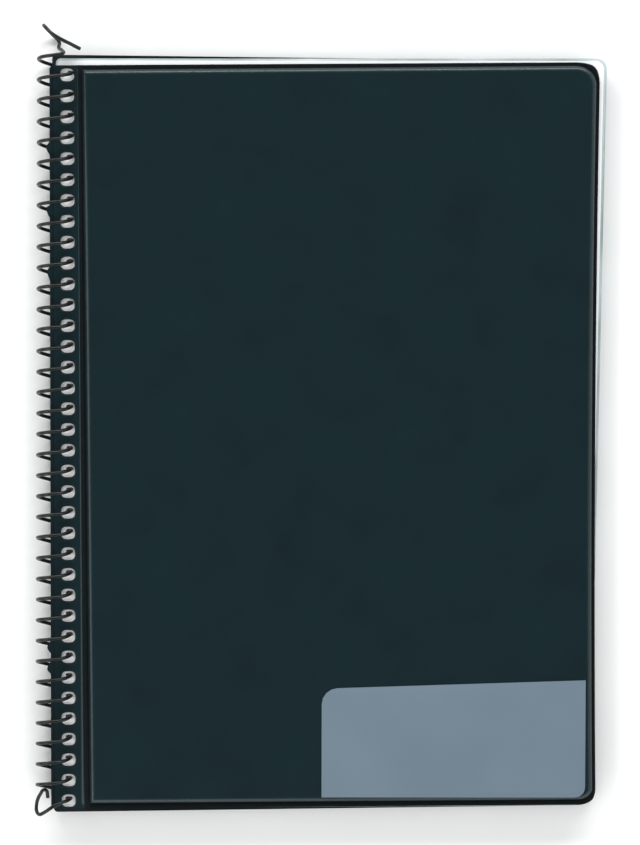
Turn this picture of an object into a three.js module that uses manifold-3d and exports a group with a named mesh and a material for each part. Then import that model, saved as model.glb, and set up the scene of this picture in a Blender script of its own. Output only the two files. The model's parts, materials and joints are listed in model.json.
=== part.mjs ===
// A spiral-bound music folder: two padded vinyl covers and a block of clear sleeves on one wire coil.
// It lies shut on its back cover. Millimetres, +X from the spine to the fore edge, +Y to the head, +Z up.
// While it is built, x = 0 and z = 0 are the coil's axis and y = 0 is the middle of the front hole row.

import * as THREE from 'three';
import { mergeVertices } from 'three/addons/utils/BufferGeometryUtils.js';
import Module from 'manifold-3d';

const wasm = await Module();
wasm.setup();

// Driving dimensions of the binding
const holeCount = 36;
const holePitch = 6.35;
const holeWidth = 4.8;
const holeHeight = 4.4;
const holeFromEdge = 5.35;
const backHoleFromEdge = 3.9;
const wireDiameter = 1.1;
const coilDiameter = 11.3;
const coilAboveTable = 0.1;
const turnLean = 0.087;
const holeSquareness = 2.6;

// Driving dimensions of the covers
const spineEdge = -1.5;
const backSpineEdge = -0.9;
const stripUnderCrease = 9.2;
const creaseGap = 0.3;
const coverWidth = 167.3;
const foreEdgeBow = 0.8;
const headRadius = 7.5;
const tailRadius = 5.5;
const creaseRadius = 0.8;
const skin = 0.4;
const boardThickness = 1.4;
const weldWidth = 1.5;
const weldLine = { width: 0.24, depth: 0.1 };
const shoulderWidth = 1.1;
const weldGap = 0.05;
const boardPlay = 0.2;
const boardEdgePlay = 0.5;

// Heights of the layers above the table
const backUnderside = 0;
const sleevesBottom = 2.9;
const sleevesTop = 6.3;
const frontInside = 6.6;

// Head and tail edges, at the spine edge and at the fore edge
const frontHead = { spine: 113.98, fore: 115.28 };
const frontTail = { spine: -113.53, fore: -112.23 };
const backHead = { spine: 117.3, fore: 116.2 };
const backTail = { spine: -115.3, fore: -113.05 };
const sleeveHead = { spine: 116.1, fore: 115.9 };
const sleeveTail = { spine: -113.6, fore: -112.4 };

// The wire slants, so the holes of the lower layers sit further towards the head than the front cover's
const wireInFrontHole = 0.5;
const sleeveHoleShift = 0.95;
const backHoleShift = 1.95;
const sleeveHoleWidth = 4.8;
const sleeveHoleHeight = 3.2;

// The coil lies a little askew: how far it is off its axis, across the cover, at the two ends of the hole row
const coilAskew = { head: 0.2, tail: -0.8 };

// Pressed bead along the front strip's crease, and how far it stops short of the head and tail edges
const bead = { middle: 8.2, width: 0.6, height: 0.14, stop: 1.5 };

// Clear label pocket on the lower fore corner of the front cover
const pocket = {
  left: 82.2,
  right: 162.9,
  head: { spine: -77.4, fore: -74.1 },
  tail: -109.7,
  cutCorner: 4.4,
  foreRadius: 3.2,
  spineRadius: 1,
  film: 0.25,
  weldWidth: 0.9,
  weldDepth: 0.08,
};

// Smallest rounding that an inset corner keeps
const leastRadius = 0.3;

// Values worked out from the driving dimensions
const ringRadius = (coilDiameter - wireDiameter) / 2;
const axisHeight = coilDiameter / 2 + coilAboveTable;
const panelStart = stripUnderCrease + creaseGap;
const foreEdge = spineEdge + coverWidth;
const holeLine = spineEdge + holeFromEdge;
const backHoleLine = backSpineEdge + backHoleFromEdge;
const rowHalf = ((holeCount - 1) * holePitch) / 2;
const panelThickness = skin + weldGap + boardPlay + boardThickness + boardPlay + skin;

const vinyl = () => new THREE.MeshStandardMaterial({ color: 0x1e2a2f, roughness: 0.55, metalness: 0 });
const liner = () => new THREE.MeshStandardMaterial({ color: 0x20282b, roughness: 0.6, metalness: 0 });
const greyboard = () => new THREE.MeshStandardMaterial({ color: 0x8d8577, roughness: 0.9, metalness: 0 });
const sleeveFilm = () => new THREE.MeshStandardMaterial({ color: 0xe2e8ea, roughness: 0.25, metalness: 0 });
const pocketFilm = () => new THREE.MeshStandardMaterial({ color: 0x768996, roughness: 0.15, metalness: 0 });
const coatedWire = () => new THREE.MeshStandardMaterial({ color: 0x2a302e, roughness: 0.35, metalness: 0.2 });

function named(name, geometry, material) {
  const mesh = new THREE.Mesh(geometry, material);
  mesh.name = name;
  return mesh;
}

// Height of a sloping head or tail edge at a distance across the cover
function edgeAt(edge, x) {
  return THREE.MathUtils.mapLinear(x, spineEdge, foreEdge, edge.spine, edge.fore);
}

// Outline of a sheet with rounded corners and a bowed fore edge, drawn inside its cut edge by the inset
function sheetOutline(sheet, inset) {
  const left = sheet.left + inset;
  const right = sheet.right - inset;
  const head = (x) => edgeAt(sheet.head, x) - inset;
  const tail = (x) => edgeAt(sheet.tail, x) + inset;
  const rounded = (radius) => Math.max(radius - inset, leastRadius);
  const spineRound = rounded(sheet.spineRadius);
  const headRound = rounded(sheet.headRadius);
  const tailRound = rounded(sheet.tailRadius);
  const shape = new THREE.Shape();
  shape.moveTo(left + spineRound, tail(left));
  shape.lineTo(right - tailRound, tail(right));
  shape.quadraticCurveTo(right, tail(right), right, tail(right) + tailRound);
  const waist = right - 2 * sheet.bow;
  shape.quadraticCurveTo(waist, (head(right) + tail(right)) / 2, right, head(right) - headRound);
  shape.quadraticCurveTo(right, head(right), right - headRound, head(right));
  shape.lineTo(left + spineRound, head(left));
  shape.quadraticCurveTo(left, head(left), left, head(left) - spineRound);
  shape.lineTo(left, tail(left) + spineRound);
  shape.quadraticCurveTo(left, tail(left), left + spineRound, tail(left));
  const points = shape.getPoints(sheet.divisions ?? 5);
  points.pop();
  return points;
}

// Closed body through a stack of outlines, each level a pair of inset and height, capped at both ends
function layeredBody(outlineAt, levels) {
  const rings = levels.map(([inset, height]) => outlineAt(inset).map((p) => [p.x, p.y, height]));
  const count = rings[0].length;
  const positions = rings.flat(2);
  const index = [];
  for (let level = 0; level + 1 < rings.length; level += 1) {
    for (let i = 0; i < count; i += 1) {
      const next = (i + 1) % count;
      const low = level * count;
      const high = low + count;
      index.push(low + i, low + next, high + next);
      index.push(low + i, high + next, high + i);
    }
  }
  const cap = (ring) => THREE.ShapeUtils.triangulateShape(ring.map((p) => new THREE.Vector2(p[0], p[1])), []);
  for (const [a, b, c] of cap(rings[0])) {
    index.push(a, c, b);
  }
  const top = (rings.length - 1) * count;
  for (const [a, b, c] of cap(rings[rings.length - 1])) {
    index.push(top + a, top + b, top + c);
  }
  const geometry = new THREE.BufferGeometry();
  geometry.setAttribute('position', new THREE.Float32BufferAttribute(positions, 3));
  geometry.setIndex(index);
  geometry.computeVertexNormals();
  return geometry;
}

function toSolid(geometry) {
  const bare = geometry.clone();
  bare.deleteAttribute('normal');
  bare.deleteAttribute('uv');
  const merged = mergeVertices(bare, 1e-4);
  const vertProperties = new Float32Array(merged.attributes.position.array);
  const triVerts = new Uint32Array(merged.index.array);
  return new wasm.Manifold(new wasm.Mesh({ numProp: 3, vertProperties, triVerts }));
}

function toGeometry(solid) {
  const { vertProperties, triVerts } = solid.getMesh();
  const geometry = new THREE.BufferGeometry();
  geometry.setAttribute('position', new THREE.BufferAttribute(new Float32Array(vertProperties), 3));
  geometry.setIndex(new THREE.BufferAttribute(new Uint32Array(triVerts), 1));
  geometry.computeVertexNormals();
  return geometry;
}

// One punched hole: an oval with slightly flattened sides
function holeOutline(x, y, width, height, sides) {
  const power = 2 / holeSquareness;
  const points = [];
  for (let i = 0; i < sides; i += 1) {
    const angle = ((i + 0.5) / sides) * 2 * Math.PI;
    const across = Math.sign(Math.cos(angle)) * Math.abs(Math.cos(angle)) ** power;
    const along = Math.sign(Math.sin(angle)) * Math.abs(Math.sin(angle)) ** power;
    points.push(new THREE.Vector2(x + (width / 2) * across, y + (height / 2) * along));
  }
  return points;
}

function holeRow(line, shift, width, height, sides) {
  const row = [];
  for (let hole = 0; hole < holeCount; hole += 1) {
    row.push(holeOutline(line, rowHalf - hole * holePitch + shift, width, height, sides));
  }
  return row;
}

// Places where the web between two holes has torn and been pulled out of the front cover's edge:
// the hole above it, how far it stands out, and where along its span it is widest.
// Start and span are shares of the hole pitch, from the middle of the hole above.
const tears = [
  { hole: 4, out: 1.1, centre: 0.35 },
  { hole: 7, out: 1.1, centre: 0.25 },
  { hole: 10, out: 0.9, centre: 0.2 },
  { hole: 28, out: 1.1, centre: 0.5 },
  { hole: 29, out: 1.1, centre: 0.6 },
];
const tearStart = 0.22;
const tearSpan = 0.6;
const stripCorner = 1.2;

// Punched strip between the cut spine edge and the crease
function stripGeometry(left, line, head, tail, shift, torn) {
  const round = stripCorner;
  const shape = new THREE.Shape();
  shape.moveTo(stripUnderCrease, edgeAt(tail, stripUnderCrease));
  shape.lineTo(stripUnderCrease, edgeAt(head, stripUnderCrease));
  shape.lineTo(left + round, head.spine);
  shape.quadraticCurveTo(left, head.spine, left, head.spine - round);
  for (const tear of torn) {
    const from = rowHalf - (tear.hole - 1 + tearStart) * holePitch + shift;
    const to = from - tearSpan * holePitch;
    const middle = THREE.MathUtils.lerp(from, to, tear.centre);
    shape.lineTo(left, from);
    shape.quadraticCurveTo(left - 2 * tear.out, middle, left, to);
  }
  shape.lineTo(left, tail.spine + round);
  shape.quadraticCurveTo(left, tail.spine, left + round, tail.spine);
  for (const outline of holeRow(line, shift, holeWidth, holeHeight, 10)) {
    shape.holes.push(new THREE.Path(outline));
  }
  return new THREE.ExtrudeGeometry(shape, { depth: 2 * skin, bevelEnabled: false, curveSegments: 4 });
}

// Low ridge along the crease, rooted inside the strip
function creaseBead() {
  const head = edgeAt(frontHead, bead.middle) - bead.stop;
  const tail = edgeAt(frontTail, bead.middle) + bead.stop;
  const section = new THREE.Shape([
    new THREE.Vector2(-bead.width / 2, -skin),
    new THREE.Vector2(bead.width / 2, -skin),
    new THREE.Vector2(bead.width / 2, 0),
    new THREE.Vector2(0, bead.height),
    new THREE.Vector2(-bead.width / 2, 0),
  ]);
  const ridge = new THREE.ExtrudeGeometry(section, { depth: head - tail, bevelEnabled: false });
  ridge.rotateX(Math.PI / 2);
  ridge.translate(bead.middle, head, 2 * skin);
  return ridge;
}

// Sheets of the two padded panels
function panelSheet(head, tail) {
  return {
    left: panelStart,
    right: foreEdge,
    head,
    tail,
    bow: foreEdgeBow,
    spineRadius: creaseRadius,
    headRadius,
    tailRadius,
  };
}

// Outer skin: a flat rim with the pressed line of the weld, and a rounded shoulder round the board.
// The shoulder's points are shares of its width and of its rise, steep at the weld and easing to the crown.
// Inside, the hollow for the board widens a little towards its mouth.
function outerSkinLevels(rimInside) {
  const rimOutside = rimInside + skin;
  const crown = panelThickness;
  const shoulder = [[0.08, 0.45], [0.5, 0.85], [0.85, 0.97], [1.5, 1]];
  const outside = shoulder.map(([across, up]) => [
    weldWidth + across * shoulderWidth,
    THREE.MathUtils.lerp(rimOutside, crown, up),
  ]);
  const hollow = { crown: weldWidth + shoulderWidth + 0.2, mouth: weldWidth + shoulderWidth - 0.1 };
  const pressed = rimOutside - weldLine.depth;
  return [
    [hollow.crown, crown - skin],
    [hollow.mouth, rimInside],
    [0, rimInside],
    [0, rimOutside],
    [weldWidth - weldLine.width, rimOutside],
    [weldWidth - weldLine.width / 2, pressed],
    [weldWidth, pressed],
    ...outside,
  ];
}

function panelPieces(side, head, tail) {
  const sheet = panelSheet(head, tail);
  const outline = (inset) => sheetOutline(sheet, inset);
  const rimInside = skin + weldGap;
  const boardInset = weldWidth + shoulderWidth + boardEdgePlay;
  const boardBottom = rimInside - weldGap + boardPlay;
  const outerSkin = layeredBody(outline, outerSkinLevels(rimInside));
  const board = layeredBody(outline, [[boardInset, boardBottom], [boardInset, boardBottom + boardThickness]]);
  const innerSkin = layeredBody(outline, [[0, 0], [0, skin]]);
  return [
    named(`${side}_cover_inner_skin`, innerSkin, liner()),
    named(`${side}_cover_board`, board, greyboard()),
    named(`${side}_cover_outer_skin`, outerSkin, vinyl()),
  ];
}

// A cover with its inside at z = 0 and its outside up
function frontCover() {
  const cover = new THREE.Group();
  cover.add(...panelPieces('front', frontHead, frontTail));
  const strip = toSolid(stripGeometry(spineEdge, holeLine, frontHead, frontTail, 0, tears));
  cover.add(named('front_cover_strip', toGeometry(strip.add(toSolid(creaseBead()))), vinyl()));
  cover.add(labelPocket());
  cover.position.z = frontInside - axisHeight;
  return cover;
}

// The back cover is the same build turned over, so its shapes are flipped in the geometry
function backCover() {
  const cover = new THREE.Group();
  const pieces = panelPieces('back', backHead, backTail);
  const strip = stripGeometry(backSpineEdge, backHoleLine, backHead, backTail, backHoleShift, []);
  pieces.push(named('back_cover_strip', strip, vinyl()));
  for (const piece of pieces) {
    flipUpsideDown(piece.geometry);
    cover.add(piece);
  }
  cover.position.z = backUnderside + panelThickness - axisHeight;
  return cover;
}

function flipUpsideDown(geometry) {
  if (!geometry.index) {
    const order = Array.from({ length: geometry.attributes.position.count }, (_, i) => i);
    geometry.setIndex(order);
  }
  geometry.scale(1, 1, -1);
  const index = geometry.index.array;
  for (let i = 0; i < index.length; i += 3) {
    [index[i + 1], index[i + 2]] = [index[i + 2], index[i + 1]];
  }
}

// Outline of the label pocket, one upper corner cut off and the lower fore corner round
function pocketOutline(inset) {
  const left = pocket.left + inset;
  const right = pocket.right - inset;
  const tail = pocket.tail + inset;
  const head = (x) => edgeAt(pocket.head, x) - inset;
  const foreRadius = pocket.foreRadius - inset;
  const shape = new THREE.Shape();
  shape.moveTo(left + pocket.spineRadius, tail);
  shape.lineTo(right - foreRadius, tail);
  shape.quadraticCurveTo(right, tail, right, tail + foreRadius);
  shape.lineTo(right, head(right));
  shape.lineTo(left + pocket.cutCorner, head(left + pocket.cutCorner));
  shape.quadraticCurveTo(left, head(left), left, head(left) - pocket.cutCorner);
  shape.lineTo(left, tail + pocket.spineRadius);
  shape.quadraticCurveTo(left, tail, left + pocket.spineRadius, tail);
  const points = shape.getPoints(5);
  points.pop();
  return points;
}

// The film is pressed thinner along its weld
function labelPocket() {
  const bottom = panelThickness + weldGap;
  const pressed = bottom + pocket.film - pocket.weldDepth;
  const film = layeredBody(pocketOutline, [
    [0, bottom],
    [0, pressed],
    [pocket.weldWidth, pressed],
    [pocket.weldWidth + pocket.weldDepth, bottom + pocket.film],
  ]);
  return named('label_pocket_film', film, pocketFilm());
}

// The sleeves are one block: leaf edges stand proud of the shallow grooves between them
function sleeveBlock() {
  const leaves = 5;
  const groove = 0.18;
  const grooveDepth = 0.35;
  const punchOverrun = 1;
  const sheet = {
    left: 0.4,
    right: 166,
    head: sleeveHead,
    tail: sleeveTail,
    bow: 0,
    spineRadius: 0.8,
    headRadius: 1.2,
    tailRadius: 1.2,
    divisions: 3,
  };
  const leaf = (sleevesTop - sleevesBottom + groove) / leaves - groove;
  const levels = [];
  for (let i = 0; i < leaves; i += 1) {
    const bottom = sleevesBottom - axisHeight + i * (leaf + groove);
    if (i > 0) {
      levels.push([grooveDepth, bottom]);
    }
    levels.push([0, bottom], [0, bottom + leaf]);
    if (i + 1 < leaves) {
      levels.push([grooveDepth, bottom + leaf]);
    }
  }
  const block = toSolid(layeredBody((inset) => skewedFore(sheetOutline(sheet, inset)), levels));
  const height = sleevesTop - sleevesBottom + 2 * punchOverrun;
  let punched = block;
  for (const outline of holeRow(holeLine, sleeveHoleShift, sleeveHoleWidth, sleeveHoleHeight, 8)) {
    const tool = new THREE.ExtrudeGeometry(new THREE.Shape(outline), { depth: height, bevelEnabled: false });
    tool.translate(0, 0, sleevesBottom - axisHeight - punchOverrun);
    punched = punched.subtract(toSolid(tool));
  }
  return named('clear_sleeves', toGeometry(punched), sleeveFilm());
}

// The sleeves hang a little askew: they stand out past the cover at the head and lie inside it at the tail
function skewedFore(points) {
  const overhang = { tail: -2, head: 2 };
  for (const point of points) {
    const along = THREE.MathUtils.inverseLerp(sleeveTail.fore, sleeveHead.fore, point.y);
    const across = THREE.MathUtils.inverseLerp(0, foreEdge, point.x);
    point.x += across * THREE.MathUtils.lerp(overhang.tail, overhang.head, along);
  }
  return points;
}

// Centre of the wire at an angle round the coil's axis, counted from the fore side over the front.
// The turns lean, so their front strands run nearly square to the spine and their rear strands slant.
const crossing = Math.asin((frontInside + skin - axisHeight) / ringRadius);

function wireAt(angle) {
  const x = ringRadius * Math.cos(angle);
  const z = ringRadius * Math.sin(angle);
  const advance = ((crossing - angle) / (2 * Math.PI)) * holePitch;
  const lean = turnLean * (ringRadius * Math.cos(crossing) - x);
  return new THREE.Vector3(x, rowHalf + wireInFrontHole + advance + lean, z);
}

// Free ends: the head end springs up in one open turn, the tail end is bent back and hooked over
const headEnd = [
  [7.5, 7.9, 1.6],
  [4.6, 9.4, 3.7],
  [1.4, 11.0, 4.9],
  [-1.4, 12.9, 4.7],
  [-3.1, 14.6, 3.0],
  [-3.5, 15.0, 0.6],
  [-2.8, 14.2, -2.2],
  [-1.2, 12.4, -4.3],
  [0.9, 10.1, -4.95],
];
const tailEnd = [
  [-2.9, -3.3, 4.1],
  [-4.4, -4.0, 2.6],
  [-5.2, -3.0, 1.4],
  [-5.2, -1.2, 1.3],
  [-4.8, 0.6, 1.9],
  [-3.9, 2.4, 2.8],
  [-2.9, 3.7, 3.4],
  [-2.1, 3.5, 3.3],
  [-1.8, 2.4, 2.9],
  [-1.7, 1.2, 2.6],
];

// One turn and a bit runs free above the first hole, and a quarter turn past the last one, where the wire is
// pulled down towards the tail before its hook. The section is a hexagon as thick as the wire.
function coil() {
  const pointsPerTurn = 12;
  const stepsPerTurn = 10.5;
  const firstAngle = -2 * Math.PI - 0.9;
  const lastAngle = 2 * Math.PI * (holeCount - 1) + 1.6;
  const pull = { distance: 2.2, from: lastAngle - 0.5, to: lastAngle + 0.6 };
  const sectionAcross = wireDiameter * 1.08;
  const turns = (lastAngle - firstAngle) / (2 * Math.PI);
  const count = Math.round(turns * pointsPerTurn);
  const points = headEnd.map(([x, y, z]) => new THREE.Vector3(x, rowHalf + y, z));
  for (let i = 0; i <= count; i += 1) {
    const angle = THREE.MathUtils.lerp(firstAngle, lastAngle, i / count);
    const point = wireAt(angle);
    point.y -= pull.distance * THREE.MathUtils.smoothstep(angle, pull.from, pull.to);
    points.push(point);
  }
  points.push(...tailEnd.map(([x, y, z]) => new THREE.Vector3(x, y - rowHalf, z)));
  for (const point of points) {
    point.x += THREE.MathUtils.mapLinear(point.y, -rowHalf, rowHalf, coilAskew.tail, coilAskew.head);
  }
  const path = new THREE.CatmullRomCurve3(points, false, 'centripetal');
  path.arcLengthDivisions = points.length * 12;
  const steps = Math.round((path.getLength() / (2 * Math.PI * ringRadius)) * stepsPerTurn);
  const section = new THREE.Shape(holeOutline(0, 0, sectionAcross, sectionAcross, 6));
  return named('spiral_coil', new THREE.ExtrudeGeometry(section, { steps, extrudePath: path }), coatedWire());
}

// The origin is under the middle of the whole folder, on the table
const pieces = new THREE.Group();
pieces.add(backCover(), sleeveBlock(), coil(), frontCover());
pieces.updateMatrixWorld(true);
const reach = new THREE.Box3().setFromObject(pieces, true);
const middle = reach.getCenter(new THREE.Vector3());
pieces.position.set(-middle.x, -middle.y, -reach.min.z);

const musicFolder = new THREE.Group();
musicFolder.add(pieces);

export default musicFolder;
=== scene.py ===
# A spiral-bound music folder, shut and lying on its back cover, seen from above.
# Its pieces are drawn in millimetres from the binding: x = 0 is the coil's axis, y = 0 the middle of
# the front cover's hole row and z = 0 the table. They are moved to the CAD frame, in metres, when made.

import json
import math
import random

import bmesh
import bpy
from mathutils import Matrix, Vector


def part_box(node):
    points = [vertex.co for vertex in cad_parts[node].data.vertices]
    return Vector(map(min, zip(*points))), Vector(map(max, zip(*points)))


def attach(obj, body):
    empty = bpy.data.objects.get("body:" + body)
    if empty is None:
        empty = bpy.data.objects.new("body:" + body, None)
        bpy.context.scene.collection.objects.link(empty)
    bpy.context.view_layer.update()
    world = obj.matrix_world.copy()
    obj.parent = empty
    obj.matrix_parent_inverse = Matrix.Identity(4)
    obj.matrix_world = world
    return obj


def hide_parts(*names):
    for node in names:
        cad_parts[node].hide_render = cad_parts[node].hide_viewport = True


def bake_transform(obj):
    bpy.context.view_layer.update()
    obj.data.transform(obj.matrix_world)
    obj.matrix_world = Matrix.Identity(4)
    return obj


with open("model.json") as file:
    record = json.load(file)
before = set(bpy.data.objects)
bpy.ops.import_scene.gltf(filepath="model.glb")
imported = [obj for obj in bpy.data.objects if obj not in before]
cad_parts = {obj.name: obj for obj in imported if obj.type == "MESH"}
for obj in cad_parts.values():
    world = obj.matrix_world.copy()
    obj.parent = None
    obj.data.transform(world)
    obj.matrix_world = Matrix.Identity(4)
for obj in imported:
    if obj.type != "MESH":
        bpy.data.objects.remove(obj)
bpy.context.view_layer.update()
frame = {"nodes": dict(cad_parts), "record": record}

MM = 0.001

# Binding
HOLE_COUNT = 36
HOLE_PITCH = 6.35
ROW_HALF = (HOLE_COUNT - 1) * HOLE_PITCH / 2

# Outline of a punched hole: 2 is an oval, more is squarer
HOLE_SQUARENESS = 2.6

# The wire: the turns lean, it sits towards the head in the front cover's holes, and the whole coil
# is off its axis, sideways, by this much at the tail and at the head
WIRE_DIAMETER = 1.1
RING_RADIUS = 5.1
TURN_LEAN = 0.087
WIRE_IN_FRONT_HOLE = 0.5
COIL_ASKEW = (-0.8, 0.2)

# Covers: outline, skins and crease
FORE_EDGE = 165.8
FORE_EDGE_BOW = 0.8
FORE_EDGE_CUTS = 15
SPINE_EDGE_CUTS = HOLE_COUNT * 10
HEAD_RADIUS = 7.5
TAIL_RADIUS = 5.5
SPINE_RADIUS = 1.2
SKIN = 0.38
SKINS_TOP = 0.8
CROWN = 2.65
STRIP_END = 7.4
PANEL_START = 8.8
HINGE_START = 8.3
HINGE_END = 11.0
HINGE_CUTS = 10

# Points closer than this to a line count as on it
NEAR = 1e-3

# The line that the welding bar leaves along the spine edge: its sides and bottom, from that edge
SPINE_GROOVE = (0.8, 1.0, 1.2)
SPINE_GROOVE_DEPTH = 0.03

# The bead in the front crease: the lines across it, how far each one rises, how far from the head
# and tail edges the bead ends, and how fast
BEAD = (8.1, 8.3, 8.45, 8.6, 8.75)
BEAD_RISE = (0.0, 0.16, 0.2, 0.16, 0.0)
BEAD_STOPS = 1.5
BEAD_RUN_OUT = 0.3

# The front crease slants towards the spine at the head: how far there, where across the cover that
# starts, over what width it grows, and where it starts to fade and ends
CREASE_SLANT = 2.0
CREASE_SLANT_FROM = 6.4
CREASE_SLANT_GROWS = 2.9
CREASE_SLANT_FADES = 14.0
CREASE_SLANT_ENDS = 60.0

# Where each cover's spine edge and hole line are, how far its holes are shifted towards the head,
# and its head and tail edges at the spine and at the fore side
COVERS = {
    "front": {
        "spine": -1.5,
        "line": 3.85,
        "shift": 0.0,
        "head": (113.98, 115.28),
        "tail": (-113.53, -112.23),
    },
    "back": {
        "spine": -0.9,
        "line": 3.0,
        "shift": 1.95,
        "head": (117.3, 115.7),
        "tail": (-115.3, -113.05),
    },
}
HOLE = (4.8, 4.4)
HOLE_COLLAR = 0.12

# Webs between two holes that have torn out of the front cover's edge: the hole above, how far they
# stand out and at what share of their length they are widest. Start and length are parts of the pitch.
TEARS = [(4, 1.1, 0.35), (7, 1.1, 0.25), (10, 0.9, 0.2), (28, 1.1, 0.5), (29, 1.1, 0.6)]
TEAR_START = 0.22
TEAR_SPAN = 0.6

# Steps of the outer skin from its cut edge to its crown: across and up
SHOULDER = [
    (1.3, 0.0),
    (0.15, -0.1),
    (0.12, 0.0),
    (0.18, 0.75),
    (0.35, 0.72),
    (0.4, 0.34),
    (0.6, 0.12),
    (0.4, 0.02),
    (0.4, 0.0),
]
WELDED_STEPS = 3

# The width of the welded rim. It is narrower along the fore side, and along the head from the spine
# to the fore side: how far the shoulder shifts outwards there, and how far from the edge that reaches
RIM = 1.57
FORE_SHIFT = 0.7
HEAD_SHIFT = (0.25, 0.65)
RIM_SHIFT_REACH = 9.0

# Steps of the lining from its cut edge inwards: across and up
LINING_WELD = [(1.25, 0.0), (0.12, 0.07), (0.25, 0.0), (0.12, -0.07), (0.4, 0.0)]

# Sleeves. The holes shift along the row from the lowest leaf to the top one. The fore edge is skewed
# at the tail and at the head. The corners are listed from the spine at the tail, round to its head.
LEAVES = 10
LEAF = 0.22
SLEEVE_HOLE = (2.5, 1.5)
SLEEVE_HOLE_LINE = 4.69
SLEEVE_BORDER = 0.6
LEAF_SHIFT = (1.35, 0.64)
SLEEVES = {"left": 0.4, "right": 166.0, "head": (116.1, 116.5), "tail": (-113.6, -112.4)}
SLEEVE_SKEW = (-2.0, 2.0)
SLEEVE_CORNERS = (1.5, 5.0, 3.2, 1.5)

# How far a leaf's fore corners may be out of line: across as it turns, along its fore edge, and both
# of them in or out
LEAF_TURNED = 0.35
LEAF_ALONG = 0.3
LEAF_REACH = (-0.5, 0.1)

# Label pocket
POCKET = {"left": 81.5, "right": 162.4, "head": (-78.8, -73.4), "tail": -109.7}
POCKET_CUT_CORNER = 4.8
POCKET_ROUND = 3.2
POCKET_GAP = 0.04

# Its film, the weld round it and the share of the film's thickness that the weld keeps
FILM = 0.25
WELD_BAND = 0.9
WELDED_SHARE = 0.7

# Camera, from the binding in millimetres, and the white of the studio
CAMERA_PLACE = (66.94, 89.8, 1280.0)
CAMERA_LOOK = (0.01092, -0.06629, -1.0)
CAMERA_UP = (-0.00193, 1.0, 0.0)
LENS = 177.9
SENSOR = 36.0
STUDIO_GLOW = 0.04

# Softboxes in metres and watts: place, width and height, power
SOFTBOXES = {
    "head_softbox": ((0.0, 1.75, 1.0), (2.6, 0.35), 56.0),
    "left_softbox": ((-1.6, -0.2, 1.1), (3.2, 1.2), 31.0),
    "right_softbox": ((1.6, -0.2, 0.95), (3.6, 1.8), 23.0),
    "tail_softbox": ((0.0, -1.7, 1.05), (3.4, 1.3), 29.0),
}


def joint_place(name):
    """Where a joint sits, in millimetres of the CAD frame."""
    for joint in frame["record"]["behaviour"]["joints"]:
        if joint["name"] == name:
            return Vector(joint["pos_m"]) / MM
    raise ValueError(name)


COIL_AXIS = joint_place("front_cover_on_coil")
STRIP_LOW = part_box("front_cover_strip")[0]
BINDING = Vector((COIL_AXIS.x, STRIP_LOW.y / MM - COVERS["front"]["tail"][0], 0.0))
FRONT_INSIDE = STRIP_LOW.z / MM
BACK_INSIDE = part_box("back_cover_inner_skin")[1].z / MM
SLEEVES_LOW, SLEEVES_HIGH = (corner.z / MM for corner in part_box("clear_sleeves"))
AXIS_HEIGHT = COIL_AXIS.z


# Materials

def linear(code):
    """An sRGB hex colour as linear RGBA."""
    channels = [int(code[i:i + 2], 16) / 255 for i in (1, 3, 5)]
    return [c / 12.92 if c <= 0.04045 else ((c + 0.055) / 1.055) ** 2.4 for c in channels] + [1.0]


def add_node(tree, kind, sockets=None, **settings):
    """A node with its settings, its input values and the outputs linked to it."""
    node = tree.nodes.new(kind)
    for name, value in settings.items():
        setattr(node, name, value)
    for name, value in (sockets or {}).items():
        if isinstance(value, bpy.types.NodeSocket):
            tree.links.new(value, node.inputs[name])
        else:
            node.inputs[name].default_value = value
    return node


def new_material(name, **values):
    """A material with one Principled shader, its uniform values set on the shader's own sockets."""
    material = bpy.data.materials.new(name)
    material.use_nodes = True
    tree = material.node_tree
    tree.nodes.clear()
    shader = add_node(tree, "ShaderNodeBsdfPrincipled")
    for socket, value in values.items():
        shader.inputs[socket.replace("_", " ")].default_value = value
    output = add_node(tree, "ShaderNodeOutputMaterial")
    tree.links.new(shader.outputs["BSDF"], output.inputs["Surface"])
    return material, tree, shader


def colour_between(tree, factor, low, high):
    """A colour that goes from one to the other across the middle of the factor's range."""
    ramp = add_node(tree, "ShaderNodeValToRGB", {"Fac": factor})
    for stop, position, code in zip(ramp.color_ramp.elements, (0.3, 0.7), (low, high)):
        stop.position = position
        stop.color = linear(code)
    return ramp.outputs["Color"]


def grained_vinyl():
    # Soft PVC sheet calendered with a fine leather grain: matt, near black with a blue-green cast.
    # The real grain is about 0.3 mm. It is drawn coarser, at 0.7 mm, so that it shows.
    material, tree, shader = new_material("calendered_vinyl", Roughness=0.34, IOR=1.52,
                                          Specular_Tint=linear("#e2eff1"))
    place = add_node(tree, "ShaderNodeUVMap", uv_map="cover").outputs["UV"]
    grain = {"Vector": place, "Scale": 1 / (0.7 * MM)}
    cells = add_node(tree, "ShaderNodeTexVoronoi", grain, feature="SMOOTH_F1")
    pores = add_node(tree, "ShaderNodeTexNoise", {"Vector": place, "Scale": 1 / (0.35 * MM), "Detail": 3.0})
    both = {0: cells.outputs["Distance"], 1: pores.outputs["Fac"]}
    height = add_node(tree, "ShaderNodeMath", both, operation="ADD").outputs["Value"]
    bump = add_node(tree, "ShaderNodeBump", {"Height": height, "Strength": 0.45, "Distance": 0.05 * MM})
    tree.links.new(bump.outputs["Normal"], shader.inputs["Normal"])
    cloud = add_node(tree, "ShaderNodeTexNoise", {"Vector": place, "Scale": 1 / (18 * MM), "Detail": 5.0})
    colour = colour_between(tree, cloud.outputs["Fac"], "#0b1c20", "#0d2126")
    tree.links.new(colour, shader.inputs["Base Color"])
    return material


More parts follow.
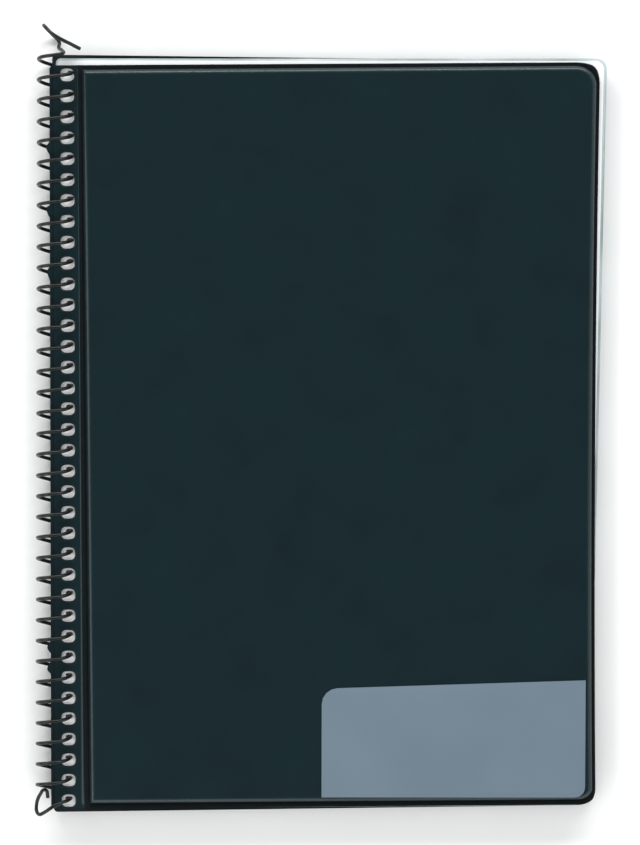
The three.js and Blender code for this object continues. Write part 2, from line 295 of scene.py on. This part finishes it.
def weld_painted_dark():
    # The same sheet where the welding bar pressed it, its grain ironed out; darkened with painted shade
    material, tree, shader = new_material("pressed_vinyl_weld_painted_shade", Roughness=0.34, IOR=1.52)
    place = add_node(tree, "ShaderNodeUVMap", uv_map="cover").outputs["UV"]
    pressed = {"Vector": place, "Scale": 1 / (2.5 * MM), "Detail": 3.0}
    streaks = add_node(tree, "ShaderNodeTexNoise", pressed)
    relief = {"Height": streaks.outputs["Fac"], "Strength": 0.3, "Distance": 0.05 * MM}
    bump = add_node(tree, "ShaderNodeBump", relief)
    tree.links.new(bump.outputs["Normal"], shader.inputs["Normal"])
    colour = colour_between(tree, streaks.outputs["Fac"], "#060b0d", "#0d1417")
    tree.links.new(colour, shader.inputs["Base Color"])
    return material


def satin_lining():
    # Thin unprinted PVC liner: smoother than the outside, with the faint ripple of a welded sheet
    material, tree, shader = new_material("satin_pvc_liner", Roughness=0.6, IOR=1.52,
                                          Specular_IOR_Level=0.25)
    place = add_node(tree, "ShaderNodeUVMap", uv_map="cover").outputs["UV"]
    ripple = add_node(tree, "ShaderNodeTexNoise", {"Vector": place, "Scale": 1 / (25 * MM), "Detail": 2.0})
    relief = {"Height": ripple.outputs["Fac"], "Strength": 0.4, "Distance": 0.6 * MM}
    bump = add_node(tree, "ShaderNodeBump", relief)
    tree.links.new(bump.outputs["Normal"], shader.inputs["Normal"])
    colour = colour_between(tree, ripple.outputs["Fac"], "#141b1e", "#1a2124")
    tree.links.new(colour, shader.inputs["Base Color"])
    return material


def grey_board():
    # Recycled greyboard: dull warm grey with fibre flecks
    material, tree, shader = new_material("greyboard", Roughness=0.92, IOR=1.45)
    place = add_node(tree, "ShaderNodeTexCoord").outputs["Object"]
    flecks = add_node(tree, "ShaderNodeTexNoise", {"Vector": place, "Scale": 1 / (1.2 * MM), "Detail": 6.0})
    colour = colour_between(tree, flecks.outputs["Fac"], "#7d7568", "#9c9486")
    tree.links.new(colour, shader.inputs["Base Color"])
    return material


def sleeve_film():
    # Clear polypropylene film: each leaf is clear, a stack of them is milky white with blue-grey edges
    material, tree, shader = new_material("polypropylene_film", Roughness=0.3, IOR=1.49)
    place = add_node(tree, "ShaderNodeTexCoord").outputs["Object"]
    cloud = add_node(tree, "ShaderNodeTexNoise", {"Vector": place, "Scale": 1 / (9 * MM), "Detail": 2.0})
    colour = colour_between(tree, cloud.outputs["Fac"], "#f8fcfd", "#ffffff")
    tree.links.new(colour, shader.inputs["Base Color"])
    return material


def film_border():
    # The welded and cut border of the film sleeves: light that runs along the film leaves it here,
    # blue grey
    material, tree, shader = new_material("polypropylene_film_border", Roughness=0.25, IOR=1.49)
    place = add_node(tree, "ShaderNodeTexCoord").outputs["Object"]
    cloud = add_node(tree, "ShaderNodeTexNoise", {"Vector": place, "Scale": 1 / (22 * MM), "Detail": 3.0})
    colour = colour_between(tree, cloud.outputs["Fac"], "#93a6a6", "#d3dfe2")
    tree.links.new(colour, shader.inputs["Base Color"])
    return material


def pocket_film():
    # Clear soft PVC film over the black cover, glossy; its flat blue grey is painted reflection of the pale
    # room
    material, tree, shader = new_material("clear_pvc_film_painted_reflection", Roughness=0.22, IOR=1.53)
    place = add_node(tree, "ShaderNodeTexCoord").outputs["Object"]
    cloud = add_node(tree, "ShaderNodeTexNoise", {"Vector": place, "Scale": 1 / (30 * MM), "Detail": 2.0})
    colour = colour_between(tree, cloud.outputs["Fac"], "#667682", "#6b7b88")
    tree.links.new(colour, shader.inputs["Base Color"])
    return material


def coated_wire():
    # Steel wire with a black nylon coat: half gloss, faintly scuffed on the outside of its turns
    material, tree, shader = new_material("nylon_coated_wire", Roughness=0.3, IOR=1.53,
                                          Specular_IOR_Level=0.3)
    place = add_node(tree, "ShaderNodeTexCoord").outputs["Object"]
    scuffs = add_node(tree, "ShaderNodeTexNoise", {"Vector": place, "Scale": 1 / (1.5 * MM), "Detail": 4.0})
    colour = colour_between(tree, scuffs.outputs["Fac"], "#050908", "#101513")
    tree.links.new(colour, shader.inputs["Base Color"])
    return material


def floor_paint():
    # White painted board: matt and even
    return new_material("white_table", Roughness=0.7, Base_Color=linear("#f6f7f7"))[0]


# Making pieces

def smoothstep(value, low, high):
    """Share from 0 to 1 that starts and ends softly."""
    share = min(max((value - low) / (high - low), 0.0), 1.0)
    return share * share * (3 - 2 * share)


def make_piece(bm, name, materials, sharp=35.0):
    """A finished object from a closed mesh in the binding's millimetres."""
    bmesh.ops.remove_doubles(bm, verts=bm.verts, dist=1e-4)
    bmesh.ops.recalc_face_normals(bm, faces=bm.faces)
    for edge in bm.edges:
        edge.smooth = edge.calc_face_angle(0.0) < math.radians(sharp)
    for face in bm.faces:
        face.smooth = True
    bmesh.ops.translate(bm, vec=BINDING, verts=bm.verts)
    bmesh.ops.scale(bm, vec=(MM, MM, MM), verts=bm.verts)
    plan = bm.loops.layers.uv.new("cover")
    for face in bm.faces:
        for loop in face.loops:
            loop[plan].uv = loop.vert.co.xy
    mesh = bpy.data.meshes.new(name)
    bm.to_mesh(mesh)
    bm.free()
    piece = bpy.data.objects.new(name, mesh)
    bpy.context.scene.collection.objects.link(piece)
    for material in materials:
        mesh.materials.append(material)
    return piece


def everything(bm):
    """All parts of the mesh, for the operators that cut it."""
    return bm.verts[:] + bm.edges[:] + bm.faces[:]


def parts_of(faces):
    """Faces with their edges and corners, each once and in the same order in every run."""
    verts = dict.fromkeys(v for f in faces for v in f.verts)
    edges = dict.fromkeys(e for f in faces for e in f.edges)
    return [*verts, *edges, *faces]


def cut_at(bm, geometry, x):
    """Cuts the geometry along a line parallel to the spine."""
    bmesh.ops.bisect_plane(bm, geom=geometry, plane_co=(x, 0, 0), plane_no=(1, 0, 0), dist=1e-4)


def slope(ends, x):
    """Height of a sloping head or tail edge at a distance across the cover."""
    across = (x - COVERS["front"]["spine"]) / (FORE_EDGE - COVERS["front"]["spine"])
    return ends[0] + (ends[1] - ends[0]) * across


def round_corner(bm, corner, radius, segments):
    """Rounds one corner of a flat sheet."""
    bmesh.ops.bevel(bm, geom=[corner], offset=radius, offset_type="OFFSET", segments=segments,
                    profile=0.5, affect="VERTICES", material=-1)


def vert_near(bm, x, y):
    """The corner of a flat sheet that is nearest to a place."""
    return min(bm.verts, key=lambda v: (v.co.x - x) ** 2 + (v.co.y - y) ** 2)


def torn_out(y):
    """How far the torn webs stand out of the front cover's spine edge at this height."""
    out = 0.0
    for hole, reach, widest in TEARS:
        start = ROW_HALF - (hole - 1) * HOLE_PITCH - TEAR_START * HOLE_PITCH
        along = (start - y) / (TEAR_SPAN * HOLE_PITCH)
        if 0 < along < 1:
            rise = along / widest if along < widest else (1 - along) / (1 - widest)
            out = max(out, reach * math.sin(rise * math.pi / 2))
    return out


def askew_at(y):
    """How far the coil's axis is off its line, sideways: it leans from the tail to the head."""
    return COIL_ASKEW[0] + (COIL_ASKEW[1] - COIL_ASKEW[0]) * (y + ROW_HALF) / (2 * ROW_HALF)


def punched_hole(bm, x, y, z, size, lip=0.1, segments=20):
    """Rings of one hole: a flat collar and, inside it, a soft lip. Returns the outer ring's edges."""
    half_x, half_y = (side / 2 + HOLE_COLLAR + lip for side in size)
    made = bmesh.ops.create_circle(bm, cap_ends=False, segments=segments, radius=1.0)["verts"]
    for vert in made:
        cos, sin = vert.co.x, vert.co.y
        vert.co.x = x + math.copysign(abs(cos) ** (2 / HOLE_SQUARENESS), cos) * half_x
        vert.co.y = y + math.copysign(abs(sin) ** (2 / HOLE_SQUARENESS), sin) * half_y
        vert.co.z = z
    outer = list(dict.fromkeys(edge for vert in made for edge in vert.link_edges))
    ring = outer
    for inward, drop in ((HOLE_COLLAR, 0.0), (lip * 0.5, lip * 0.15), (lip * 0.5, lip * 0.5)):
        grown = bmesh.ops.extrude_edge_only(bm, edges=ring)["geom"]
        moved = [item for item in grown if isinstance(item, bmesh.types.BMVert)]
        ring = [item for item in grown if isinstance(item, bmesh.types.BMEdge)
                and all(v in moved for v in item.verts)]
        for vert in moved:
            away = Vector((vert.co.x - x, vert.co.y - y))
            vert.co.xy = Vector((x, y)) + away * (1 - inward / away.length)
            vert.co.z -= drop
    return outer


def fill_round_holes(bm, face, rings):
    """The face again, filled with triangles between its border and the hole rings."""
    border = list(face.edges)
    bmesh.ops.delete(bm, geom=[face], context="FACES_ONLY")
    bmesh.ops.triangle_fill(bm, use_beauty=True, use_dissolve=False, edges=border + rings,
                            normal=(0, 0, 1))


def narrow_rim(inward):
    """Share of the shift that makes a rim narrower, by the distance from the cover's edge."""
    if 0 < inward < RIM_SHIFT_REACH:
        return min(inward / RIM, 1 - smoothstep(inward, RIM, RIM_SHIFT_REACH))
    return 0.0


def bow_at(cover, y):
    """How far the fore edge bows inwards at this height, between its corners."""
    middle = (cover["head"][1] + cover["tail"][1]) / 2
    half = (cover["head"][1] - cover["tail"][1]) / 2
    return FORE_EDGE_BOW * (1 - ((y - middle) / half) ** 2)


def flat_cover(cover, z, torn):
    """Strip and panel as two flat faces with the cover's outline."""
    bm = bmesh.new()
    spine = cover["spine"]
    stations = (spine, STRIP_END, FORE_EDGE)
    low = [bm.verts.new((x, slope(cover["tail"], x), z)) for x in stations]
    high = [bm.verts.new((x, slope(cover["head"], x), z)) for x in stations]
    bm.faces.new((low[0], low[1], high[1], high[0]))
    bm.faces.new((low[1], low[2], high[2], high[1]))
    round_corner(bm, high[2], HEAD_RADIUS, 10)
    round_corner(bm, vert_near(bm, FORE_EDGE, cover["tail"][1]), TAIL_RADIUS, 10)
    for ends in (cover["tail"], cover["head"]):
        round_corner(bm, vert_near(bm, spine, ends[0]), SPINE_RADIUS, 4)

    fore_side = max(bm.edges, key=lambda e: min(v.co.x for v in e.verts))
    bmesh.ops.subdivide_edges(bm, edges=[fore_side], cuts=FORE_EDGE_CUTS)
    for vert in bm.verts:
        if vert.co.x > FORE_EDGE - NEAR:
            vert.co.x -= bow_at(cover, vert.co.y)

    spine_side = min(bm.edges, key=lambda e: max(v.co.x for v in e.verts))
    bmesh.ops.subdivide_edges(bm, edges=[spine_side], cuts=SPINE_EDGE_CUTS)
    if torn:
        for vert in bm.verts:
            if vert.co.x < spine + NEAR:
                vert.co.x -= torn_out(vert.co.y)
    return bm


def press_spine_line(bm, spine):
    """The line that the welding bar leaves along the spine edge."""
    for across in SPINE_GROOVE:
        narrow = [f for f in bm.faces if f.calc_center_median().x < STRIP_END]
        cut_at(bm, parts_of(narrow), spine + across)
    for vert in bm.verts:
        if abs(vert.co.x - spine - SPINE_GROOVE[1]) < NEAR:
            vert.co.z -= SPINE_GROOVE_DEPTH
    # The groove's faces take the weld material, darkened with painted shade
    for face in bm.faces:
        if SPINE_GROOVE[0] < face.calc_center_median().x - spine < SPINE_GROOVE[2]:
            face.material_index = 1


def punch_strip(bm, cover, z):
    """The row of holes through the strip."""
    strips = [f for f in bm.faces if f.calc_center_median().x < STRIP_END]
    strip = max(strips, key=lambda f: f.calc_area())
    rings = []
    for hole in range(HOLE_COUNT):
        y = ROW_HALF - hole * HOLE_PITCH + cover["shift"]
        rings += punched_hole(bm, cover["line"], y, z, HOLE)
    fill_round_holes(bm, strip, rings)


def form_panel(bm, steps):
    """The crease's lines, then the panel with its welded rim and its shoulder."""
    for x in (*BEAD, PANEL_START):
        cut_at(bm, parts_of([f for f in bm.faces if max(v.co.x for v in f.verts) > x + 1]), x)
    panel = next(f for f in bm.faces if min(v.co.x for v in f.verts) > PANEL_START - NEAR)
    for number, (across, up) in enumerate(steps):
        before = set(bm.faces)
        bmesh.ops.inset_region(bm, faces=[panel], thickness=across, depth=up, use_boundary=True,
                               use_even_offset=True)
        # The welded rim takes the weld material, darkened with painted shade
        if number < WELDED_STEPS:
            for face in set(bm.faces) - before:
                face.material_index = 1


def shift_rims(bm, cover):
    """Moves the panel's shoulder outwards along the fore side and the head."""
    spine = cover["spine"]
    for vert in bm.verts:
        across = (vert.co.x - spine) / (FORE_EDGE - spine)
        from_fore = FORE_EDGE - bow_at(cover, vert.co.y) - vert.co.x
        from_head = slope(cover["head"], vert.co.x) - vert.co.y
        if vert.co.x > PANEL_START:
            head_shift = HEAD_SHIFT[0] + (HEAD_SHIFT[1] - HEAD_SHIFT[0]) * across
            vert.co.x += FORE_SHIFT * narrow_rim(from_fore)
            vert.co.y += head_shift * narrow_rim(from_head)


def end_bead(bm, cover):
    """Cuts across the crease where its bead runs out. Returns the bead's two ends."""
    tail = slope(cover["tail"], BEAD[2]) + BEAD_STOPS
    head = slope(cover["head"], BEAD[2]) - BEAD_STOPS
    for y in (tail - BEAD_RUN_OUT, tail, head, head + BEAD_RUN_OUT):
        crease = [f for f in bm.faces if STRIP_END - NEAR < f.calc_center_median().x < PANEL_START]
        bmesh.ops.bisect_plane(bm, geom=parts_of(crease), plane_co=(0, y, 0), plane_no=(0, 1, 0),
                               dist=1e-4)
    return tail, head


def raise_bead(bm, tail, head):
    """Lifts the bead in the crease between its two ends."""
    for vert in bm.verts:
        for across, rise in zip(BEAD, BEAD_RISE):
            if abs(vert.co.x - across) < NEAR and tail - NEAR < vert.co.y < head + NEAR:
                vert.co.z += rise


def slant_crease(bm, cover):
    """Leans the crease and the start of the panel, more towards the head."""
    for vert in bm.verts:
        share = (vert.co.y - cover["tail"][0]) / (cover["head"][0] - cover["tail"][0])
        near = min(max((vert.co.x - CREASE_SLANT_FROM) / CREASE_SLANT_GROWS, 0.0), 1.0)
        fade = 1 - smoothstep(vert.co.x, CREASE_SLANT_FADES, CREASE_SLANT_ENDS)
        vert.co.x -= CREASE_SLANT * share * near * fade


def cover_sheet(cover, z, steps, front):
    """One skin of a cover: punched strip, crease and panel in one sheet, still without thickness."""
    bm = flat_cover(cover, z, torn=front)
    press_spine_line(bm, cover["spine"])
    punch_strip(bm, cover, z)
    form_panel(bm, steps)
    shift_rims(bm, cover)
    tail, head = end_bead(bm, cover)
    if front:
        raise_bead(bm, tail, head)
        slant_crease(bm, cover)
    return bm


def thicken(bm, amount):
    """Gives the sheet a wall on its underside, or above it for a negative amount."""
    bmesh.ops.recalc_face_normals(bm, faces=bm.faces)
    if sum(face.normal.z * face.calc_area() for face in bm.faces) < 0:
        bmesh.ops.reverse_faces(bm, faces=bm.faces)
    bmesh.ops.solidify(bm, geom=bm.faces[:], thickness=amount)


def hinge_cuts(bm):
    """Extra lines across the crease, so that it bends in a smooth curve."""
    for i in range(HINGE_CUTS):
        cut_at(bm, everything(bm), HINGE_START + (HINGE_END - HINGE_START) * i / (HINGE_CUTS - 1))


def place_cover(bm, side):
    """From the cover's own heights, with its inside at 0, to where it lies, the back one face down."""
    if side == "front":
        bmesh.ops.translate(bm, vec=(0, 0, FRONT_INSIDE), verts=bm.verts)
    else:
        bmesh.ops.scale(bm, vec=(1, 1, -1), verts=bm.verts)
        bmesh.ops.translate(bm, vec=(0, 0, BACK_INSIDE), verts=bm.verts)


def add_cover(side, vinyl, weld, lining):
    """A cover's vinyl and its lining, each in one sheet that rolls through the crease."""
    cover = COVERS[side]
    for layer, z, steps, wall, materials, slot in (
        ("vinyl", SKINS_TOP, SHOULDER, SKIN, [vinyl, weld], "cover_vinyl"),
        ("lining", 0.0, LINING_WELD, -SKIN, [lining, weld], "cover_liner"),
    ):
        bm = cover_sheet(cover, z, steps, front=side == "front")
        thicken(bm, wall)
        hinge_cuts(bm)
        place_cover(bm, side)
        piece = make_piece(bm, f"{side}_cover_{layer}", materials)
        if layer == "vinyl":
            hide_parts(f"{side}_cover_strip", f"{side}_cover_outer_skin")
        else:
            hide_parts(f"{side}_cover_inner_skin")
        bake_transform(piece)


def add_sleeves(film, border):
    """A stack of thin punched leaves that follow the coil's slant, so their edges step a little."""
    whole = bmesh.new()
    rise = (SLEEVES_HIGH - SLEEVES_LOW - LEAF) / (LEAVES - 1)
    draw = random.Random(7)
    for number in range(LEAVES):
        z = SLEEVES_LOW + number * rise
        shift = LEAF_SHIFT[0] + (LEAF_SHIFT[1] - LEAF_SHIFT[0]) * number / (LEAVES - 1)
        turned = draw.uniform(-LEAF_TURNED, LEAF_TURNED)
        along = draw.uniform(-LEAF_ALONG, LEAF_ALONG)
        bm = bmesh.new()
        left, right = SLEEVES["left"], SLEEVES["right"] + draw.uniform(*LEAF_REACH)
        corners = [
            (left, SLEEVES["tail"][0]),
            (right + SLEEVE_SKEW[0] + turned, SLEEVES["tail"][1] + along),
            (right + SLEEVE_SKEW[1] - abs(turned), SLEEVES["head"][1] - abs(along)),
            (left, SLEEVES["head"][0]),
        ]
        verts = [bm.verts.new((x, y, z)) for x, y in corners]
        bm.faces.new(verts)
        for (x, y), radius in zip(corners, SLEEVE_CORNERS):
            round_corner(bm, vert_near(bm, x, y), radius, 6)
        sheet = next(iter(bm.faces))
        bmesh.ops.inset_region(bm, faces=[sheet], thickness=SLEEVE_BORDER, use_boundary=True,
                               use_even_offset=True)
        for face in bm.faces:
            face.material_index = 0 if face is sheet else 1
        rings = []
        for hole in range(HOLE_COUNT):
            y = ROW_HALF - hole * HOLE_PITCH + shift
            line = SLEEVE_HOLE_LINE + askew_at(y)
            rings += punched_hole(bm, line, y, z, SLEEVE_HOLE, lip=0.02, segments=16)
        fill_round_holes(bm, sheet, rings)
        thicken(bm, -LEAF)
        part = bpy.data.meshes.new("leaf")
        bm.to_mesh(part)
        bm.free()
        whole.from_mesh(part)
        bpy.data.meshes.remove(part)
    piece = make_piece(whole, "sleeve_leaves", [film, border])
    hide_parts("clear_sleeves")
    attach(piece, "coil_and_sleeves")


# Angles round the coil, in radians: where the wire is halfway through the front cover, and where its
# first turn starts and its last one ends
CROSSING = math.asin((FRONT_INSIDE + SKINS_TOP / 2 - AXIS_HEIGHT) / RING_RADIUS)
FIRST_ANGLE = -2 * math.pi - 0.9
LAST_ANGLE = 2 * math.pi * (HOLE_COUNT - 1) + 1.6

# The first turn starts narrower, by a share, and opens over this angle. The last one is pulled towards
# the tail, from and to these angles round its end.
FIRST_TURN = {"narrowed": 0.75, "over": 3.0}
LAST_TURN = {"pulled": 2.2, "from": -0.5, "to": 0.6}

# Centre of the wire's two bent ends, from the first and the last hole of the front cover
HEAD_END = [
    (7.5, 7.9, 1.6), (4.6, 9.4, 3.7), (1.4, 11.0, 4.9), (-1.4, 12.9, 4.7), (-3.1, 14.6, 3.0),
    (-3.5, 15.0, 0.6), (-2.8, 14.2, -2.2), (-1.2, 12.4, -4.3), (0.9, 10.1, -4.95),
]
TAIL_END = [
    (-2.9, -3.3, 4.1), (-4.4, -4.0, 2.6), (-5.2, -3.0, 1.4), (-5.2, -1.2, 1.3), (-4.8, 0.6, 1.9),
    (-3.9, 2.4, 2.8), (-2.9, 3.7, 3.4), (-2.1, 3.5, 3.3), (-1.8, 2.4, 2.9), (-1.7, 1.2, 2.6),
]


def wire_route():
    """Points of the wire's centre, from the free end at the head to the hook at the tail."""
    per_turn = 12
    count = round((LAST_ANGLE - FIRST_ANGLE) / (2 * math.pi) * per_turn)
    points = [Vector((x, ROW_HALF + y, z)) for x, y, z in HEAD_END]
    for i in range(count + 1):
        angle = FIRST_ANGLE + (LAST_ANGLE - FIRST_ANGLE) * i / count
        opened = smoothstep(angle, FIRST_ANGLE, FIRST_ANGLE + FIRST_TURN["over"])
        x = RING_RADIUS * math.cos(angle) * (1 - FIRST_TURN["narrowed"] * (1 - opened))
        advance = (CROSSING - angle) / (2 * math.pi) * HOLE_PITCH
        lean = TURN_LEAN * (RING_RADIUS * math.cos(CROSSING) - x)
        pull = smoothstep(angle, LAST_ANGLE + LAST_TURN["from"], LAST_ANGLE + LAST_TURN["to"])
        pulled = LAST_TURN["pulled"] * pull
        y = ROW_HALF + WIRE_IN_FRONT_HOLE + advance + lean - pulled
        points.append(Vector((x, y, RING_RADIUS * math.sin(angle))))
    points += [Vector((x, y - ROW_HALF, z)) for x, y, z in TAIL_END]
    return [p + Vector((askew_at(p.y), 0, AXIS_HEIGHT)) for p in points]


def add_coil(material):
    """The wire, drawn as a round tube along its route."""
    route = wire_route()
    curve = bpy.data.curves.new("coil_route", "CURVE")
    curve.dimensions = "3D"
    spline = curve.splines.new("BEZIER")
    spline.bezier_points.add(len(route) - 1)
    for point, place in zip(spline.bezier_points, route):
        point.co = place
        point.handle_left_type = point.handle_right_type = "AUTO"
    curve.resolution_u = 3
    curve.bevel_depth = WIRE_DIAMETER / 2
    curve.bevel_resolution = 4
    curve.use_fill_caps = True
    drawn = bpy.data.objects.new("coil_route", curve)
    bpy.context.scene.collection.objects.link(drawn)
    bpy.context.view_layer.update()
    tube = bpy.data.meshes.new_from_object(drawn.evaluated_get(bpy.context.evaluated_depsgraph_get()))
    bpy.data.objects.remove(drawn)
    bm = bmesh.new()
    bm.from_mesh(tube)
    bpy.data.meshes.remove(tube)
    piece = make_piece(bm, "wire_coil", [material], sharp=60.0)
    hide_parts("spiral_coil")
    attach(piece, "coil_and_sleeves")


def add_pocket(material):
    """Clear film welded to the front panel, with a flattened weld round its border."""
    left, right, tail = POCKET["left"], POCKET["right"], POCKET["tail"]
    bottom = FRONT_INSIDE + CROWN + POCKET_GAP
    bm = bmesh.new()
    corners = [
        (left, tail),
        (right, tail),
        (right, slope(POCKET["head"], right)),
        (left, slope(POCKET["head"], left)),
    ]
    verts = [bm.verts.new((x, y, bottom)) for x, y in corners]
    bm.faces.new(verts)
    round_corner(bm, verts[3], POCKET_CUT_CORNER, 4)
    round_corner(bm, vert_near(bm, right, tail), POCKET_ROUND, 6)
    film = next(iter(bm.faces))
    grown = bmesh.ops.extrude_face_region(bm, geom=[film])["geom"]
    lifted = [item for item in grown if isinstance(item, bmesh.types.BMVert)]
    bmesh.ops.translate(bm, vec=(0, 0, FILM * WELDED_SHARE), verts=lifted)
    bmesh.ops.recalc_face_normals(bm, faces=bm.faces)
    top = max(bm.faces, key=lambda f: f.calc_center_median().z)
    # The weld, the step up to the clear middle and a flat line that keeps the step crisp
    for across, up in ((WELD_BAND, 0.0), (0.25, FILM * (1 - WELDED_SHARE)), (0.3, 0.0)):
        bmesh.ops.inset_region(bm, faces=[top], thickness=across, depth=up, use_boundary=True,
                               use_even_offset=True)
    piece = make_piece(bm, "label_pocket", [material])
    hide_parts("label_pocket_film")
    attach(piece, "front_panel")


# Stage, light and camera

def add_stage():
    """The white table that the folder lies on."""
    bm = bmesh.new()
    bmesh.ops.create_grid(bm, x_segments=1, y_segments=1, size=3.0)
    mesh = bpy.data.meshes.new("table_top")
    bm.to_mesh(mesh)
    bm.free()
    floor = bpy.data.objects.new("table_top", mesh)
    bpy.context.scene.collection.objects.link(floor)
    mesh.materials.append(floor_paint())


def add_light(name, place, size, power):
    """A softbox that faces the folder."""
    data = bpy.data.lights.new(name, "AREA")
    data.shape = "RECTANGLE"
    data.size, data.size_y = size
    data.energy = power
    lamp = bpy.data.objects.new(name, data)
    lamp.location = place
    lamp.rotation_euler = (-Vector(place)).to_track_quat("-Z", "Y").to_euler()
    bpy.context.scene.collection.objects.link(lamp)


def add_camera():
    """Above the head of the folder, tilted a little towards its tail, as the photo was taken."""
    camera = bpy.data.objects.new("camera", bpy.data.cameras.new("camera"))
    camera.data.lens = LENS
    camera.data.sensor_width = SENSOR
    look = Vector(CAMERA_LOOK).normalized()
    right = look.cross(Vector(CAMERA_UP)).normalized()
    up = right.cross(look)
    turn = Matrix((right, up, -look)).transposed().to_4x4()
    camera.matrix_world = Matrix.Translation((BINDING + Vector(CAMERA_PLACE)) * MM) @ turn
    bpy.context.scene.collection.objects.link(camera)
    bpy.context.scene.camera = camera


vinyl = grained_vinyl()
weld = weld_painted_dark()
lining = satin_lining()
board = grey_board()
add_cover("front", vinyl, weld, lining)
add_cover("back", vinyl, weld, lining)
add_sleeves(sleeve_film(), film_border())
add_coil(coated_wire())
add_pocket(pocket_film())
for node in ("front_cover_board", "back_cover_board"):
    frame["nodes"][node].material_slots[0].material = board

add_stage()
add_camera()
for name, (place, size, power) in SOFTBOXES.items():
    add_light(name, place, size, power)

scene = bpy.context.scene
scene.view_settings.view_transform = "Standard"
scene.world = bpy.data.worlds.new("studio")
scene.world.use_nodes = True
glow = scene.world.node_tree.nodes["Background"]
glow.inputs["Color"].default_value = linear("#ffffff")
glow.inputs["Strength"].default_value = STUDIO_GLOW
